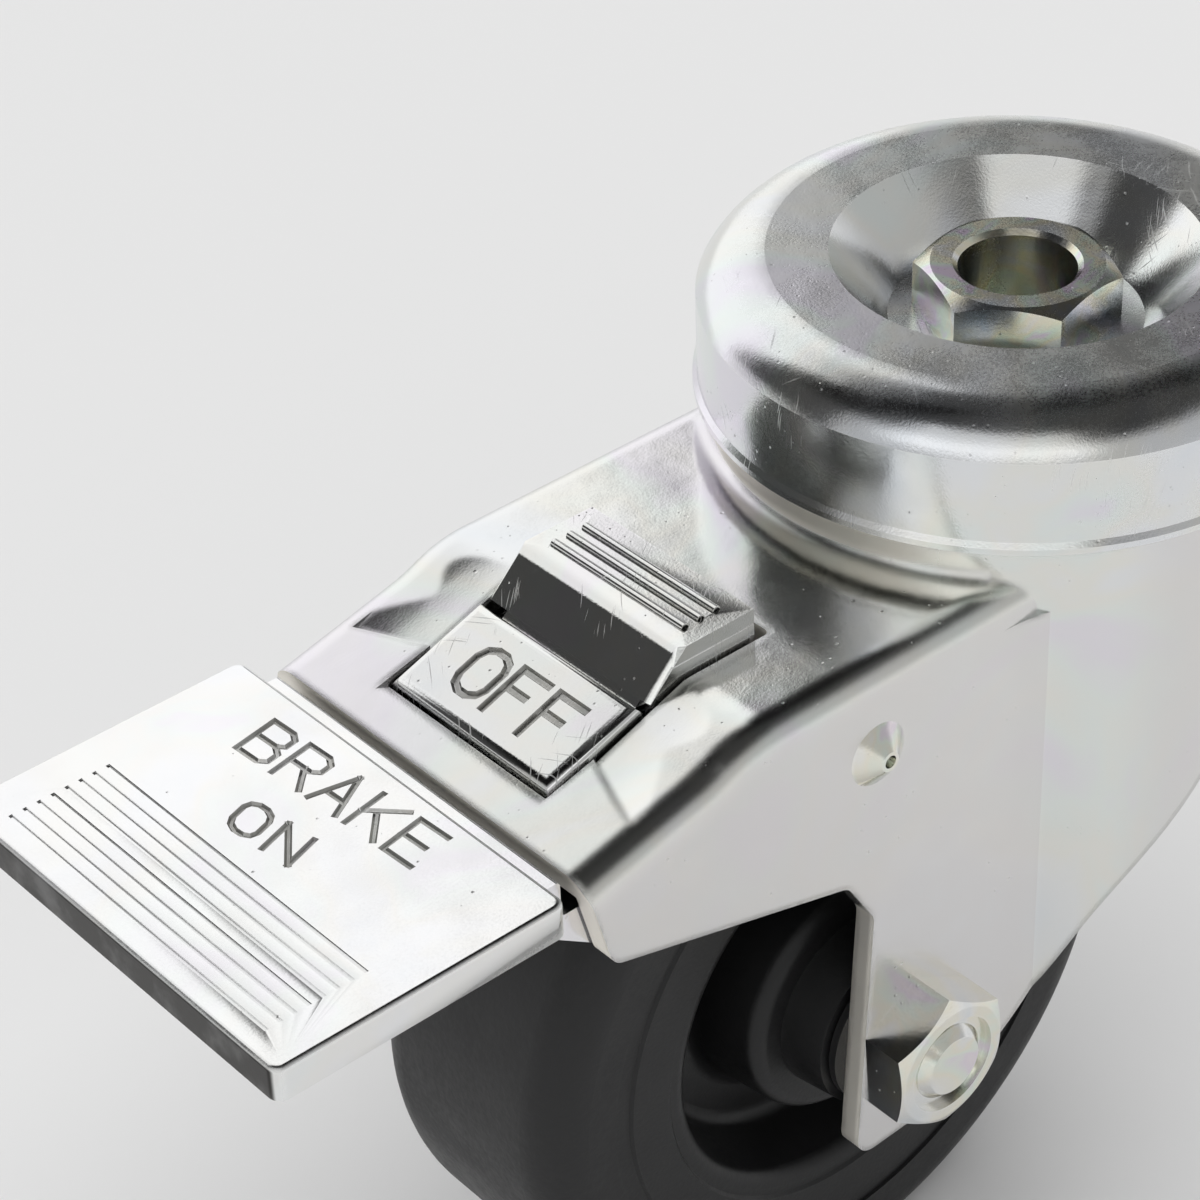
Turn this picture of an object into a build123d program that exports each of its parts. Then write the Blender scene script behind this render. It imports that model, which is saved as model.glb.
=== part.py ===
"""Locking castor: bolt-hole swivel head, pressed fork, 75 mm wheel, brake pedal and release tread.

Millimetres. Z is up along the swivel axis and the brake pedal points to -X. The wheel turns
about a line parallel to Y. Heights below are counted from the flat top ring of the cap, and
the export lifts everything by DATUM, so that the origin is at the mouth of the bolt hole.
"""
import os
from math import cos, radians, sin

from build123d import *

DATUM = 2.0             # depth of the bolt hole's mouth below the top ring
RUN = 0.08              # radial clearance of the running fits
SIDE_GAP = 0.3          # room between flat parts that turn side by side
THROUGH = 40.0          # half length of the drills that go right across

# Swivel head
CAP_R = 30.0            # skirt radius
CAP_T = 2.0             # sheet thickness
CAP_SHOULDER = 6.5      # width of the rounded shoulder
CAP_SKIRT_TOP = -4.05   # where the rounded shoulder meets the skirt
CAP_BOTTOM = -13.5
CAP_LIP = 0.4           # how far the bottom lip stands out
CAP_RING = 12.4         # from the edge of the recess out to the skirt
KING_BORE_R = 5.6
KING_R = 8.0
KING_HEX_AF = 17.0
KING_TOP = -1.5
KING_TAIL = 0.9         # how far the king bolt comes through its nut
KING_NUT_AF = 2 * KING_R + 8.0
KING_NUT_H = 6.5
RECESS_R = CAP_R - CAP_RING
RECESS_FLOOR_R = KING_HEX_AF / 2 / cos(radians(30)) + 2.2
RECESS_FLOOR = -7.0
SLEEVE_R = KING_R + 1.5
UPPER_BALL_R = 3.0
UPPER_BALL_COUNT = 18
LOWER_BALL_R = 2.35
LOWER_BALL_RING = SLEEVE_R + LOWER_BALL_R + 1.15
LOWER_BALL_COUNT = 15
BALL_GAP = 0.02         # between a ball and its track
CAGE_HALF = 0.8         # half thickness of the ball cage
CAGE_RIM = 0.5          # least rim of the cage beside a ball
CAGE_GAP = 0.45         # between the cage and the recess cone

# Fork
FORK_T = 2.3
ARM_HALF = 21.9
ARM_TOP = -17.1
ARM_STEP_BACK = -53.6   # where the flat top starts to fall
ARM_STEP_FRONT = -58.0  # where the steeper fall ends
ARM_STEP_Z = -19.1
ARM_FRONT = -72.2
ARM_FRONT_Z = -22.6
ARM_BEND_R = 14.0
ARM_TOP_LINE = [(0.0, ARM_TOP), (ARM_STEP_BACK, ARM_TOP), (ARM_STEP_FRONT, ARM_STEP_Z),
                (ARM_FRONT, ARM_FRONT_Z)]
RIDGE_R = 3.0
BLANK_LOW = -95.0       # the sheet reaches down to here before its outline is cut
DRUM_R = CAP_R - 0.8
DRUM_TOP = CAP_BOTTOM - 0.5
DRUM_EDGE_R = 0.4
COLLAR_R = 1.1          # hollow round between the drum and the flat top
CROWN_TOP = -CAP_T - 2 * UPPER_BALL_R - 0.35
CROWN_SEAT = RECESS_FLOOR - CAP_T - 3.0
CROWN_R = CAP_R - CAP_T - 1.0
RACE_TOP = CROWN_SEAT - FORK_T - 2 * LOWER_BALL_R - 0.4
RACE_T = 2.2
OPEN_FRONT = -67.6
OPEN_REAR = -41.9
OPEN_HALF = 11.15
OPEN_CORNER = 0.6
DISH_FRONT = -65.2      # outer front corner of the shallow hollow beside the opening
DISH_SLANT = 2.8
DISH_REAR = -56.5
DISH_DROP = 0.6
DISH_R = 50.0
LIP_WIDTH = 1.1
LIP_DEPTH = 0.35

# Wheel and axle
AXLE_X = -33.5
AXLE_R = 4.0
AXLE_HEX_AF = 13.0
AXLE_NUT_H = 5.0
AXLE_HEAD_H = 5.3
TUBE_R = AXLE_R + 2.0
WASHER_T = 0.8
WASHER_R = TUBE_R + 2.2
WHEEL_R = 37.5
WHEEL_TOP_ROOM = 6.1    # between the tyre and the underside of the flat top
WHEEL_SIDE_ROOM = 6.4   # between the wheel and the inside of a leg
WHEEL_HALF = ARM_HALF - FORK_T - WHEEL_SIDE_ROOM
AXLE_Z = ARM_TOP - FORK_T - WHEEL_TOP_ROOM - WHEEL_R
TYRE_BORE_R = 29.7
SHOULDER_R = 4.5
BUSH_R = TUBE_R + 2.5
BUSH_FLANGE_R = BUSH_R + 1.1
BUSH_END = ARM_HALF - FORK_T - WASHER_T - SIDE_GAP
HUB_R = BUSH_R + 4.3
HUB_HALF = WHEEL_HALF + 0.5
CORE_WEB = 5.0          # half thickness of the web
CORE_DISH_R = 19.2      # outer radius of the recessed web
CORE_BLEND = 1.6

# Outline of the fork's sides, from the front edge down to the leg and up behind it
SIDE_FRONT = [(ARM_FRONT, 5.0), (ARM_FRONT, ARM_FRONT_Z - 0.7), (-69.9, -32.0), (-42.4, -39.5),
              (-39.1, -44.9), (AXLE_X - 7.4, AXLE_Z - 11.0), (AXLE_X + 1.8, AXLE_Z - 10.6)]
SIDE_REAR = [SIDE_FRONT[-1], (AXLE_X + 12.2, AXLE_Z - 6.2), (-14.0, -57.3), (-3.6, -44.6), (8.0, -32.5),
             (20.0, -26.8), (CAP_R + 3.0, -25.0)]

# Brake lever, release tread and their common pivot
PIVOT_X = -39.0
PIVOT_Z = -26.0
PIVOT_R = 2.1
PIVOT_HEAD_R = PIVOT_R + 1.1
PIVOT_HEAD_H = 1.6
PIVOT_FOOT = 0.8        # thickness of the rivets' inner heads
BRAKE_ANGLE = 7.0
LEVER_T = 2.0
LEVER_HALF = ARM_HALF - FORK_T - SIDE_GAP
LEVER_EYE_R = 6.0
WEB_TOP = -26.3
WEB_END = -53.6
PEDAL_TOP = -21.5
PEDAL_FRONT = -105.05
PEDAL_BACK = -75.1
PEDAL_HALF = 22.65
PEDAL_DEPTH = 3.4
GROOVE_COUNT = 8
GROOVE_FIRST = -92.5
GROOVE_STEP = 1.43
GROOVE_HALF = 18.2
GROOVE_WIDTH = 0.4
GROOVE_DEPTH = 0.18
SHOE_HALF = 9.0
SHOE_FRONT = -65.0
SHOE_REAR = -54.5
SHOE_GAP = 0.35         # left between shoe and tyre with the pedal right down
RIVET_R = 1.5
TREAD_HALF = OPEN_HALF - 0.35
TREAD_TOP = -14.0
TREAD_BACK = -43.4
TREAD_NOSE = -52.6
TREAD_FOOT = -56.0
RIB_STEP = 1.85
SEAM_DROP = 1.55        # mould seam on the tread's sides, below its top
SIGN_GAP = 0.4          # between the sign and the sides of the opening
SIGN_HALF = OPEN_HALF - SIGN_GAP
SIGN_BACK = TREAD_FOOT - 0.45
SIGN_FRONT = OPEN_FRONT + 0.45
SIGN_ROUND = 1.2
RELEASE_T = 2.0
RELEASE_OUT = LEVER_HALF - LEVER_T - SIDE_GAP - 0.1
RELEASE_EYE_R = 5.5
WING_TOP = -24.0
WING_T = 2.0


def xz_face(*curves):
    """A face in the XZ plane from curves that close on each other."""
    return Plane.XZ * make_face([edge for curve in curves for edge in curve.edges()])


def slab(face, low, high):
    """Sweep an XZ face along Y from low to high."""
    return Pos(0, low, 0) * extrude(face, amount=low - high)


def block(x0, x1, y0, y1, z0, z1):
    """A plain box between two corners."""
    return Pos((x0 + x1) / 2, (y0 + y1) / 2, (z0 + z1) / 2) * Box(x1 - x0, y1 - y0, z1 - z0)


def mirrored(solid):
    """The same solid on the other side of the XZ plane."""
    return mirror(solid, about=Plane.XZ)


def turned(points):
    """Turn a closed (radius, height) outline about Z."""
    return revolve(xz_face(Polyline(*points, close=True)), axis=Axis.Z)


def across(solid, x, z):
    """Lay a solid built along Z along Y, on the line through (x, z)."""
    return Pos(x, 0, z) * Rot(-90, 0, 0) * solid


def rod(radius, low, high):
    """A plain round bar along Z."""
    return Pos(0, 0, low) * Cylinder(radius, high - low, align=(Align.CENTER, Align.CENTER, Align.MIN))


def hex_bar(across_flats, low, high, turn=0.0):
    """A hexagon bar along Z with its upper corners turned off at thirty degrees."""
    corner = across_flats / 2 / cos(radians(30))
    bar = extrude(RegularPolygon(corner, 6, rotation=turn), amount=high - low)
    drop = (corner - across_flats * 0.48) * 0.58
    cone = turned([(0, -1), (corner + 0.1, -1), (corner + 0.1, high - low - drop),
                   (across_flats * 0.48, high - low), (0, high - low)])
    return Pos(0, 0, low) * (bar & cone)


def shifted_line(points, distance):
    """Shift an open line of straight runs to one side, keeping its corners sharp."""
    runs = []
    for (x0, z0), (x1, z1) in zip(points, points[1:]):
        length = ((x1 - x0) ** 2 + (z1 - z0) ** 2) ** 0.5
        nx = -(z1 - z0) / length * distance
        nz = (x1 - x0) / length * distance
        runs.append(((x0 + nx, z0 + nz), (x1 + nx, z1 + nz)))
    result = [runs[0][0]]
    for (a, b), (c, d) in zip(runs, runs[1:]):
        ux, uz = b[0] - a[0], b[1] - a[1]
        vx, vz = d[0] - c[0], d[1] - c[1]
        s = ((c[0] - a[0]) * vz - (c[1] - a[1]) * vx) / (ux * vz - uz * vx)
        result.append((a[0] + s * ux, a[1] + s * uz))
    result.append(runs[-1][1])
    return result


def slope_top(x):
    """Height of the fork's sloping front top at x."""
    fall = (ARM_FRONT_Z - ARM_STEP_Z) / (ARM_FRONT - ARM_STEP_FRONT)
    return ARM_STEP_Z + (x - ARM_STEP_FRONT) * fall


def cone_under(height):
    """Radius of the underside of the recess cone at a height."""
    share = (height - RECESS_FLOOR + CAP_T) / -RECESS_FLOOR
    return (1 - share) * (RECESS_FLOOR_R + 1.6) + share * (RECESS_R + 1.75)


def ball_ring(radius, ring, height, count):
    """A ring of separate balls."""
    spots = PolarLocations(ring, count)
    return Compound([Pos(0, 0, height) * spot * Sphere(radius).solid() for spot in spots])


# Swivel head
shoulder = TangentArc((CAP_R - CAP_SHOULDER, 0.0), (CAP_R, CAP_SKIRT_TOP), tangent=(1.0, 0.0))
cap_outline = Polyline(
    (CAP_R, CAP_SKIRT_TOP), (CAP_R, CAP_BOTTOM + 1.1), (CAP_R + CAP_LIP, CAP_BOTTOM + 0.6),
    (CAP_R + CAP_LIP, CAP_BOTTOM), (CAP_R - CAP_T, CAP_BOTTOM), (CAP_R - CAP_T, CAP_SKIRT_TOP - 1.0),
    (CAP_R - CAP_SHOULDER + 1.0, -CAP_T), (cone_under(-CAP_T), -CAP_T),
    (cone_under(RECESS_FLOOR - CAP_T), RECESS_FLOOR - CAP_T), (KING_R, RECESS_FLOOR - CAP_T),
    (KING_R, RECESS_FLOOR), (RECESS_FLOOR_R, RECESS_FLOOR), (RECESS_R, 0.0), (CAP_R - CAP_SHOULDER, 0.0))
swivel_cap = revolve(xz_face(shoulder, cap_outline), axis=Axis.Z)

nut_low = RACE_TOP - RACE_T - KING_NUT_H
king_low = nut_low - KING_TAIL
king_bolt = hex_bar(KING_HEX_AF, RECESS_FLOOR, KING_TOP, turn=8.0) + rod(KING_R, king_low, RECESS_FLOOR)
king_bolt -= rod(KING_BORE_R, king_low - 1, KING_TOP + 1)
king_bolt -= Pos(0, 0, KING_TOP - 0.25) * Cone(KING_BORE_R, KING_BORE_R + 0.5, 0.5)

king_sleeve = rod(SLEEVE_R, RACE_TOP, RECESS_FLOOR - CAP_T) - rod(KING_R, RACE_TOP - 1, 0)

race_r = LOWER_BALL_RING + 4.6
lower_race = turned([
    (KING_R, RACE_TOP - RACE_T), (race_r - 1.0, RACE_TOP - RACE_T), (race_r, RACE_TOP - 1.0),
    (race_r, RACE_TOP + 1.0), (race_r - 1.2, RACE_TOP + 1.0), (race_r - 1.7, RACE_TOP), (KING_R, RACE_TOP)])

king_nut = hex_bar(KING_NUT_AF, nut_low, nut_low + KING_NUT_H)
king_nut = Pos(0, 0, 2 * nut_low + KING_NUT_H) * Rot(180, 0, 0) * king_nut
king_nut -= rod(KING_R, nut_low - 1, 0)

upper_z = -CAP_T - BALL_GAP - UPPER_BALL_R
cage_inner = cone_under(upper_z + CAGE_HALF) + CAGE_GAP
upper_ring = cage_inner + CAGE_RIM + UPPER_BALL_R
upper_balls = ball_ring(UPPER_BALL_R, upper_ring, upper_z, UPPER_BALL_COUNT)
lower_z = RACE_TOP + BALL_GAP + LOWER_BALL_R
lower_balls = ball_ring(LOWER_BALL_R, LOWER_BALL_RING, lower_z, LOWER_BALL_COUNT)

cage_outer = upper_ring + UPPER_BALL_R + 1.1
upper_cage = rod(cage_outer, upper_z - CAGE_HALF, upper_z + CAGE_HALF)
upper_cage -= rod(cage_inner, upper_z - 2, upper_z + 2)
for spot in PolarLocations(upper_ring, UPPER_BALL_COUNT):
    upper_cage -= Pos(0, 0, upper_z) * spot * Cylinder(UPPER_BALL_R + 0.05, 4)

# Fork: one folded sheet, made as an outer body less an inner one
outer_top = FilletPolyline(*ARM_TOP_LINE, radius=ARM_BEND_R)
outer_rest = Polyline(ARM_TOP_LINE[-1], (ARM_FRONT, BLANK_LOW), (0.0, BLANK_LOW), ARM_TOP_LINE[0])
arm = slab(xz_face(outer_top, outer_rest), -ARM_HALF, ARM_HALF)
ridges = [e for e in arm.edges() if abs(abs(e.center().Y) - ARM_HALF) < 0.01
          and e.center().Z > ARM_FRONT_Z - 1.0 and ARM_FRONT + 0.05 < e.center().X < -0.5]
arm = fillet(ridges, RIDGE_R)

beyond = ARM_FRONT - 8.0
inner_line = shifted_line(ARM_TOP_LINE[:-1] + [(beyond, slope_top(beyond))], FORK_T)
inner_top = FilletPolyline(*inner_line, radius=ARM_BEND_R - FORK_T)
inner_rest = Polyline(inner_line[-1], (inner_line[-1][0], BLANK_LOW - 5), (0.0, BLANK_LOW - 5), inner_line[0])
arm_room = slab(xz_face(inner_top, inner_rest), -ARM_HALF + FORK_T, ARM_HALF - FORK_T)

drum = rod(DRUM_R, BLANK_LOW, DRUM_TOP)
drum = fillet(drum.edges().sort_by(Axis.Z)[-1], DRUM_EDGE_R)
fork = arm + drum

corner_x = -(DRUM_R ** 2 - ARM_HALF ** 2) ** 0.5
gusset_back = corner_x - 4.2
gusset_top = ARM_TOP - RIDGE_R - 0.4
gusset = block(gusset_back, corner_x + 3.4, -ARM_HALF - 2.4, -ARM_HALF + 1.0, BLANK_LOW, gusset_top)
gusset -= Pos(gusset_back, -ARM_HALF - 17.0, BLANK_LOW) * Cylinder(17.0, 300.0)
fork += gusset
fork += mirrored(gusset)
fork -= arm_room
fork -= rod(DRUM_R - FORK_T, BLANK_LOW - 1, DRUM_TOP - FORK_T)

collar_out = DRUM_R + COLLAR_R
collar_up = ARM_TOP + COLLAR_R
sag = COLLAR_R * (1 - cos(radians(45)))
collar_arc = ThreePointArc((DRUM_R, collar_up), (DRUM_R + sag, ARM_TOP + sag), (collar_out, ARM_TOP))
collar_rest = Polyline((collar_out, ARM_TOP), (collar_out, ARM_TOP - 0.5), (DRUM_R - 0.5, ARM_TOP - 0.5),
                       (DRUM_R - 0.5, collar_up), (DRUM_R, collar_up))
collar = revolve(xz_face(collar_arc, collar_rest), axis=Axis.Z)
collar_half = ARM_HALF - RIDGE_R
fork += collar & block(-2 * DRUM_R, -5.0, -collar_half, collar_half, ARM_TOP - 2, DRUM_TOP)

crown_step = cone_under(CROWN_TOP) + 0.46
crown = turned([
    (SLEEVE_R + RUN, CROWN_SEAT), (crown_step, CROWN_SEAT), (crown_step, CROWN_TOP), (CROWN_R, CROWN_TOP),
    (CROWN_R, DRUM_TOP), (DRUM_R - 1.2, DRUM_TOP), (DRUM_R - 1.2, DRUM_TOP - FORK_T),
    (CROWN_R - FORK_T, DRUM_TOP - FORK_T), (CROWN_R - FORK_T, CROWN_TOP - FORK_T),
    (crown_step + FORK_T, CROWN_TOP - FORK_T), (crown_step + FORK_T, CROWN_SEAT - FORK_T),
    (SLEEVE_R + RUN, CROWN_SEAT - FORK_T)])
fork -= rod(CROWN_R - FORK_T, DRUM_TOP - FORK_T - 1, 0)
fork += crown

side_front = FilletPolyline(*SIDE_FRONT, radius=2.0)
side_rear = Spline(*SIDE_REAR, tangents=[(1.0, 0.12), (1.0, 0.0)])
side_top = Polyline(SIDE_REAR[-1], (SIDE_REAR[-1][0], 5.0), SIDE_FRONT[0])
fork = fork & slab(xz_face(side_front, side_rear, side_top), -CAP_R - 5, CAP_R + 5)

# Pressed hollows beside the opening: a shallow round trough on each side that runs out towards the rear
dish_side = ARM_HALF - RIDGE_R
trough_low = Vector(DISH_FRONT + DISH_SLANT, OPEN_HALF, slope_top(DISH_FRONT + DISH_SLANT) - DISH_DROP)
trough_end = Vector(DISH_REAR, OPEN_HALF, slope_top(DISH_REAR))
trough_line = Plane(trough_low, x_dir=(0, 1, 0), z_dir=trough_end - trough_low)
trough = trough_line * (Pos(0, DISH_R, 0) * Cylinder(DISH_R, 60))
dish_plan = Polyline(
    (DISH_FRONT, dish_side), (DISH_FRONT + DISH_SLANT, OPEN_HALF),
    (DISH_FRONT + DISH_SLANT + 1.3, OPEN_HALF - 3.0), (OPEN_REAR, OPEN_HALF - 3.0), (OPEN_REAR, dish_side),
    close=True)
hollow = trough & (Pos(0, 0, ARM_TOP - 20) * extrude(make_face(dish_plan), amount=30))
fork -= hollow
fork -= mirrored(hollow)

window = block(OPEN_FRONT, OPEN_REAR, -OPEN_HALF, OPEN_HALF, ARM_TOP - 12, ARM_TOP + 6)
window = fillet(window.edges().filter_by(Axis.Z), OPEN_CORNER)
fork -= window
lip_out = OPEN_FRONT - LIP_WIDTH
lip_low = slope_top(OPEN_FRONT) - LIP_DEPTH
lip = Polyline((lip_out, slope_top(lip_out)), (OPEN_FRONT + 0.5, lip_low - 0.05), (OPEN_FRONT + 0.5, ARM_TOP),
               (lip_out, ARM_TOP), close=True)
fork -= slab(xz_face(lip), -OPEN_HALF, OPEN_HALF)
fork -= across(rod(AXLE_R, -THROUGH, THROUGH), AXLE_X, AXLE_Z)
fork -= across(rod(PIVOT_R, -THROUGH, THROUGH), PIVOT_X, PIVOT_Z)

# Pivot rivets: a conical head with a centre mark outside, a flat head inside
inside = ARM_HALF - FORK_T
foot_out = RELEASE_OUT - RELEASE_T - SIDE_GAP
foot_in = foot_out - PIVOT_FOOT
rivet_end = ARM_HALF + PIVOT_HEAD_H
rivet = turned([
    (0.0, foot_in), (PIVOT_HEAD_R, foot_in), (PIVOT_HEAD_R, foot_out), (PIVOT_R, foot_out),
    (PIVOT_R, ARM_HALF), (PIVOT_HEAD_R, ARM_HALF), (PIVOT_HEAD_R - 0.4, ARM_HALF + 0.3),
    (1.0, rivet_end), (0.65, rivet_end), (0.5, rivet_end - 1.0), (0.0, rivet_end - 1.0)])
pivot_rivet_left = across(rivet, PIVOT_X, PIVOT_Z)
pivot_rivet_right = mirrored(pivot_rivet_left)

# Axle
nut_end = ARM_HALF + AXLE_NUT_H
axle_nut = hex_bar(AXLE_HEX_AF, ARM_HALF, nut_end, turn=30.0) - rod(AXLE_R, 0, nut_end + 1)
axle_nut -= rod(AXLE_R + 1.1, nut_end - 0.7, nut_end + 1)
axle_nut = across(Rot(180, 0, 0) * axle_nut, AXLE_X, AXLE_Z)
bolt_end = -nut_end - 0.3
axle_bolt = rod(AXLE_R, bolt_end, ARM_HALF)
axle_bolt += hex_bar(AXLE_HEX_AF, ARM_HALF, ARM_HALF + AXLE_HEAD_H, turn=30.0)
axle_bolt = across(chamfer(axle_bolt.faces().sort_by(Axis.Z)[0].edges(), 0.9), AXLE_X, AXLE_Z)
axle_tube = across(rod(TUBE_R, -inside, inside) - rod(AXLE_R, -THROUGH, THROUGH), AXLE_X, AXLE_Z)
washer = rod(WASHER_R, inside - WASHER_T, inside) - rod(TUBE_R, 0, THROUGH)
thrust_washer_left = across(washer, AXLE_X, AXLE_Z)
thrust_washer_right = mirrored(thrust_washer_left)

# Wheel
tyre_face = Pos((TYRE_BORE_R + WHEEL_R) / 2, 0) * Rectangle(WHEEL_R - TYRE_BORE_R, 2 * WHEEL_HALF)
shoulder_r = min(SHOULDER_R, 0.9 * (WHEEL_R - TYRE_BORE_R))
tyre_face = fillet(tyre_face.vertices().group_by(Axis.X)[-1], shoulder_r)
tyre = across(revolve(Plane.XZ * tyre_face, axis=Axis.Z), AXLE_X, AXLE_Z)

ring_face = WHEEL_HALF - 0.3
half_core = [(BUSH_R, HUB_HALF), (HUB_R, HUB_HALF), (HUB_R + 0.8, CORE_WEB), (CORE_DISH_R, CORE_WEB),
             (CORE_DISH_R + 1.5, ring_face), (TYRE_BORE_R, ring_face)]
core_upper = FilletPolyline(*half_core, radius=CORE_BLEND)
core_lower = FilletPolyline(*[(r, -h) for r, h in half_core], radius=CORE_BLEND)
core_bore = Line((BUSH_R, HUB_HALF), (BUSH_R, -HUB_HALF))
core_seat = Line((TYRE_BORE_R, ring_face), (TYRE_BORE_R, -ring_face))
wheel_core = revolve(xz_face(core_upper, core_bore, core_lower, core_seat), axis=Axis.Z)
raised_in = CORE_DISH_R + 3.6
raised_out = TYRE_BORE_R - 1.8
wheel_core += turned([
    (raised_in, -ring_face), (raised_in + 0.3, -WHEEL_HALF), (raised_out - 0.3, -WHEEL_HALF),
    (raised_out, -ring_face), (raised_out, ring_face), (raised_out - 0.3, WHEEL_HALF),
    (raised_in + 0.3, WHEEL_HALF), (raised_in, ring_face)])
wheel_core = across(wheel_core, AXLE_X, AXLE_Z)

bush = turned([(TUBE_R + RUN, 2.0), (BUSH_R, 2.0), (BUSH_R, HUB_HALF), (BUSH_FLANGE_R, HUB_HALF),
               (BUSH_FLANGE_R - 0.6, BUSH_END), (TUBE_R + RUN, BUSH_END)])
hub_bush_left = across(bush, AXLE_X, AXLE_Z)
hub_bush_right = mirrored(hub_bush_left)

# Brake lever: pedal plate, joggle, web and two flanges
plate = block(PEDAL_FRONT, PEDAL_BACK, -PEDAL_HALF, PEDAL_HALF, PEDAL_TOP - PEDAL_DEPTH, PEDAL_TOP)
plate = fillet(plate.edges().filter_by(Axis.Z), 1.2)
plate = fillet(plate.faces().sort_by(Axis.Z)[-1].edges(), 0.5)
plate_room = PEDAL_HALF - LEVER_T
plate_low = PEDAL_TOP - LEVER_T
plate -= block(PEDAL_FRONT + LEVER_T, PEDAL_BACK + 5, -plate_room, plate_room, PEDAL_TOP - 20, plate_low)
groove = Box(GROOVE_WIDTH, 2 * GROOVE_HALF, 2 * GROOVE_DEPTH)
for n in range(GROOVE_COUNT):
    plate -= Pos(GROOVE_FIRST - n * GROOVE_STEP, 0, PEDAL_TOP) * groove

web_low = WEB_TOP - LEVER_T
lever_line = FilletPolyline(
    (PEDAL_BACK - 3.0, PEDAL_TOP - 1.0), (PEDAL_BACK + 1.9, PEDAL_TOP - 1.0), (PEDAL_BACK + 1.9, WEB_TOP),
    (WEB_END, WEB_TOP), (WEB_END, web_low), (PEDAL_BACK - 0.1, web_low), (PEDAL_BACK - 0.1, plate_low),
    (PEDAL_BACK - 3.0, plate_low), radius=0.45, close=True)
lever_sheet = slab(xz_face(lever_line), -LEVER_HALF, LEVER_HALF)

flange_line = Polyline(
    (PEDAL_BACK + 0.4, WEB_TOP), (WEB_END + 1.5, WEB_TOP), (PIVOT_X - 2.6, PIVOT_Z + 5.4),
    (PIVOT_X + 3.4, PIVOT_Z - 5.0), (WEB_END + 2.5, web_low - 7.4), (PEDAL_BACK + 7.5, web_low - 4.4),
    (PEDAL_BACK + 0.4, WEB_TOP - 1.6), close=True)
flange = slab(xz_face(flange_line), LEVER_HALF - LEVER_T, LEVER_HALF)
flange += across(rod(LEVER_EYE_R, LEVER_HALF - LEVER_T, LEVER_HALF), PIVOT_X, PIVOT_Z)
flange -= across(rod(PIVOT_R + RUN, 0, THROUGH), PIVOT_X, PIVOT_Z)
brake_pedal = plate + lever_sheet + flange + mirrored(flange)

# Brake shoe: its face follows the tyre when the pedal is down
turn_x = (AXLE_X - PIVOT_X) * cos(radians(BRAKE_ANGLE)) + (AXLE_Z - PIVOT_Z) * sin(radians(BRAKE_ANGLE))
turn_z = (AXLE_Z - PIVOT_Z) * cos(radians(BRAKE_ANGLE)) - (AXLE_X - PIVOT_X) * sin(radians(BRAKE_ANGLE))
brake_shoe = block(SHOE_FRONT, SHOE_REAR, -SHOE_HALF, SHOE_HALF, web_low - WHEEL_R, web_low)
brake_shoe -= across(rod(WHEEL_R + SHOE_GAP, -THROUGH, THROUGH), PIVOT_X + turn_x, PIVOT_Z + turn_z)
brake_shoe = brake_shoe.solids().sort_by(Axis.Z)[-1]
shoe_x = (SHOE_FRONT + SHOE_REAR) / 2 - 0.25
shoe_y = SHOE_HALF - 3.5
shoe_rivet = turned([
    (0, web_low - 1.6), (RIVET_R, web_low - 1.6), (RIVET_R, WEB_TOP), (RIVET_R + 1.3, WEB_TOP),
    (RIVET_R + 0.9, WEB_TOP + 0.8), (0, WEB_TOP + 1.1)])
shoe_rivet_left = Pos(shoe_x, shoe_y, 0) * shoe_rivet
shoe_rivet_right = mirrored(shoe_rivet_left)
shoe_hole = Pos(shoe_x, shoe_y, 0) * rod(RIVET_R, web_low - 1.6, WEB_TOP + 5)
brake_pedal -= shoe_hole
brake_pedal -= mirrored(shoe_hole)
brake_shoe -= shoe_hole
brake_shoe -= mirrored(shoe_hole)

# Release tread: ribbed block with an inclined face, raised sign block, walls, wings and two ears
foot_z = TREAD_TOP - 3.8
tread_line = Polyline(
    (TREAD_BACK, TREAD_TOP), (TREAD_NOSE + 0.7, TREAD_TOP), (TREAD_NOSE, TREAD_TOP - 0.45),
    (TREAD_FOOT, foot_z), (TREAD_FOOT + 0.5, foot_z - 0.4), (TREAD_FOOT + 5.0, foot_z - 2.6),
    (TREAD_BACK, foot_z - 2.6), close=True)
tread = slab(xz_face(tread_line), -TREAD_HALF, TREAD_HALF)
nose_x = (TREAD_NOSE + TREAD_FOOT) / 2
corners = [e for e in tread.edges() if abs(e.center().X - nose_x) < 0.05 and abs(e.center().Y) > 1.0]
tread = chamfer(corners, 0.6)
for n in range(3):
    rib = Pos(TREAD_NOSE + 2.95 + n * RIB_STEP, 0, TREAD_TOP) * Box(0.9, 2 * TREAD_HALF - 4.1, 0.9)
    tread += fillet(rib.edges().filter_by(Axis.Y).group_by(Axis.Z)[-1], 0.4)

seam = Box(2 * (TREAD_BACK - TREAD_FOOT), 0.24, 0.16)
for side in (-TREAD_HALF, TREAD_HALF):
    tread -= Pos(TREAD_BACK, side, TREAD_TOP - SEAM_DROP) * seam

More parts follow.
